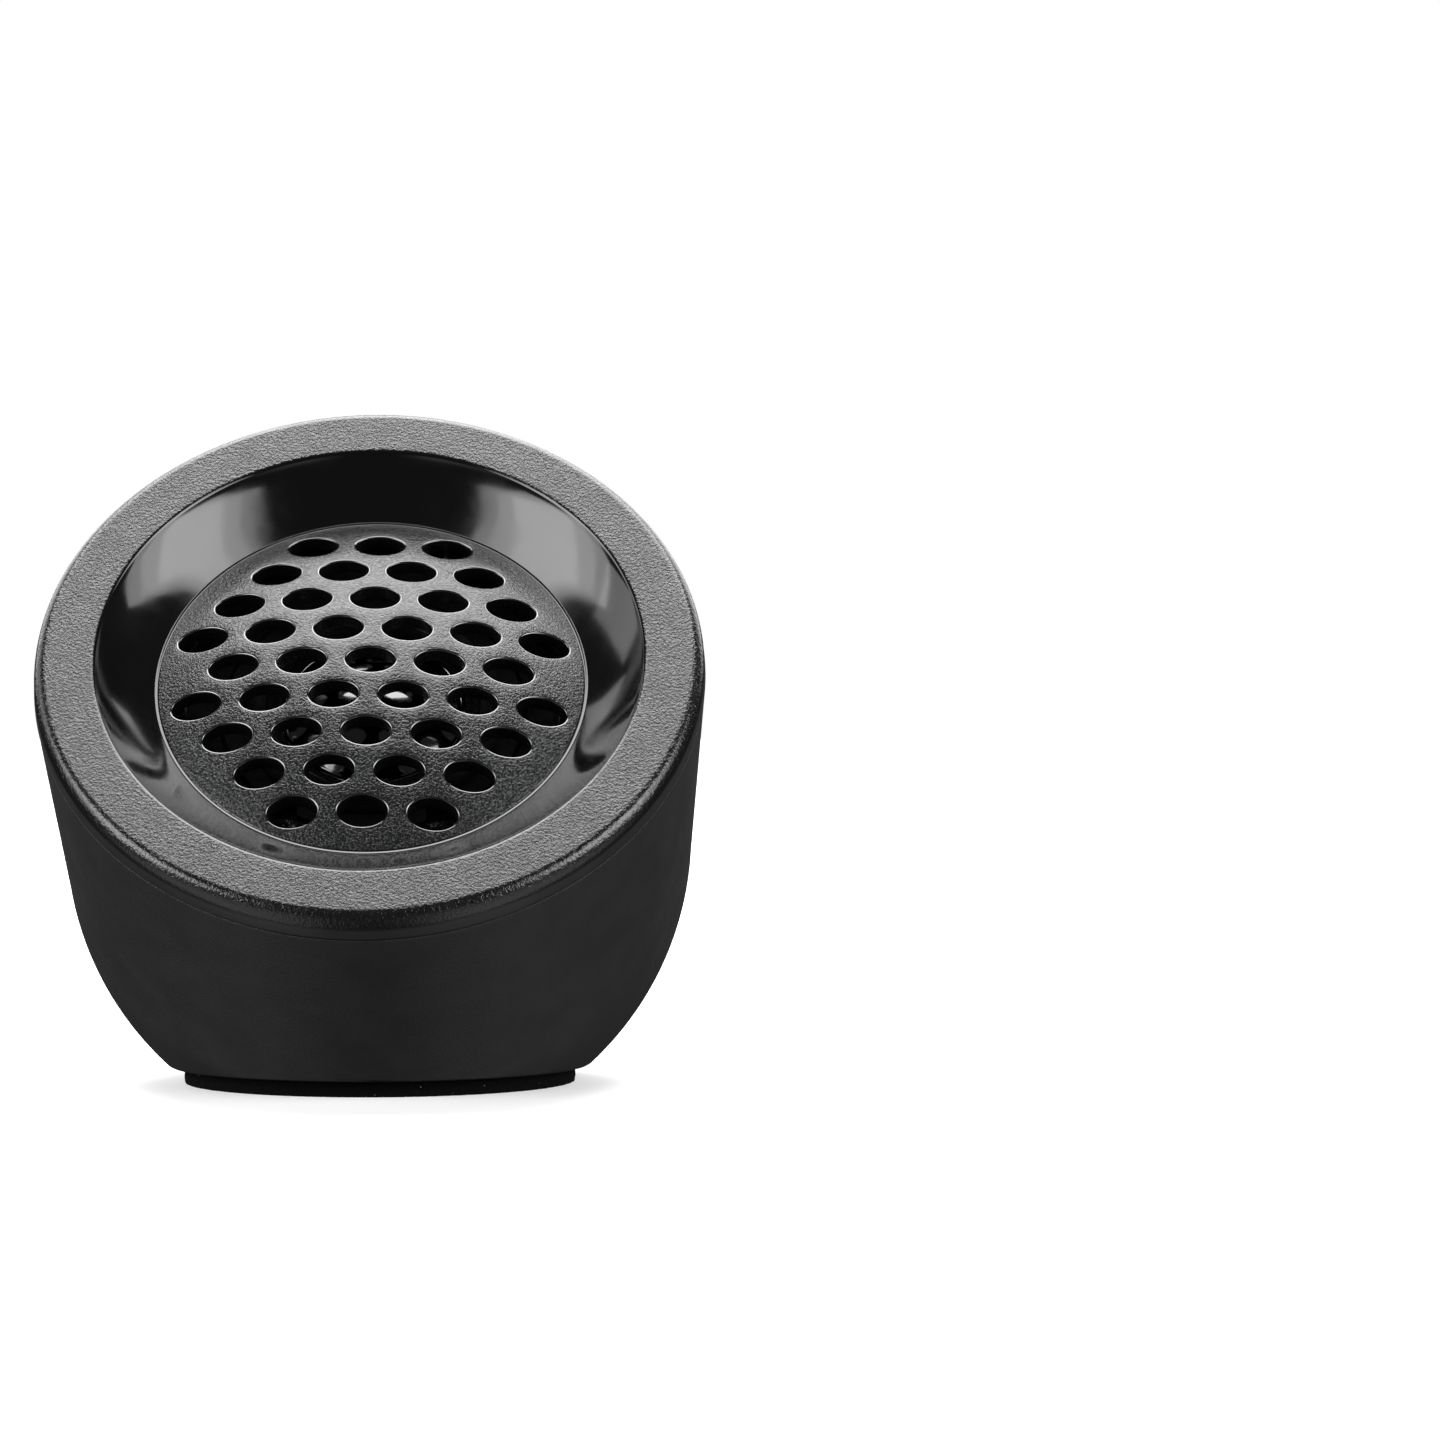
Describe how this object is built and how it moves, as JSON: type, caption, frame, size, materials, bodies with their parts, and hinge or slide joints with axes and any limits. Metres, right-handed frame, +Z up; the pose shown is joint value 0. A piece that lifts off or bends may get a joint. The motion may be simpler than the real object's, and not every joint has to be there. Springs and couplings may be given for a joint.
{
  "type": "car tweeter",
  "caption": "Round angled surface-mount tweeter: perforated convex grille in a glossy bowl, on a ball-ended pod with a flat foam foot.",
  "frame": {"origin": "centre of the underside of the foam foot, on the surface that the pod is stuck to", "axes": "+Z up and away from that surface; the face looks towards -Y and up; +X to the right as seen from the front"},
  "size_m": [0.05, 0.0581, 0.052],
  "materials": {
    "pod_plastic": "fine matt moulding texture",
    "bezel_plastic": "spark-eroded grain on face and grille, polished bowl",
    "foam": "closed-cell foam",
    "rubber": "matt",
    "frame_plastic": "glossy moulding",
    "surround_film": "glossy film",
    "dome_film": "glossy film",
    "aluminium": "plain rolled",
    "copper_wire": "enamelled copper",
    "brass": "plain stamped",
    "plated_steel": "zinc plated",
    "magnet_plating": "nickel plated",
    "felt": "pressed felt",
    "tape": "foam tape",
    "circuit_board": "solder resist",
    "capacitor_film": "shrunk film sleeve",
    "wire_red": "wire insulation",
    "wire_black": "wire insulation"
  },
  "bodies": {
    "pod": {"base_shell": "pod_plastic", "foam_pad": "foam", "cable_gland": "rubber"},
    "head": {"bezel_ring": "bezel_plastic", "grille": "bezel_plastic", "seal_gasket": "rubber", "driver_frame": "frame_plastic", "surround": "surround_film", "coil_lead_positive": "copper_wire", "coil_lead_negative": "copper_wire", "frame_lug_positive": "brass", "frame_lug_negative": "brass", "pole_plate": "plated_steel", "pole_felt": "felt", "magnet": "magnet_plating", "magnet_cup": "plated_steel", "board_tape": "tape", "crossover_board": "circuit_board", "capacitor_can": "aluminium", "capacitor_sleeve": "capacitor_film", "capacitor_lead_1": "plated_steel", "capacitor_lead_2": "plated_steel", "terminal_positive": "brass", "terminal_negative": "brass", "jumper_positive": "wire_red", "jumper_negative": "wire_black", "driver_screw_1": "plated_steel", "driver_screw_2": "plated_steel", "driver_screw_3": "plated_steel"},
    "diaphragm": {"dome": "dome_film", "coil_former": "aluminium", "voice_coil": "copper_wire"}
  },
  "joints": [
    {"name": "head_twist", "type": "hinge", "parent": "pod", "child": "head", "pos_m": [0, -0.01698, 0.03329], "axis": [0, -0.7716, 0.6361], "range_deg": [0, 18]},
    {"name": "diaphragm_travel", "type": "slide", "parent": "head", "child": "diaphragm", "axis": [0, -0.7716, 0.6361], "range_m": [-0.00025, 0.00025], "stiffness_N_per_m": 120}
  ]
}
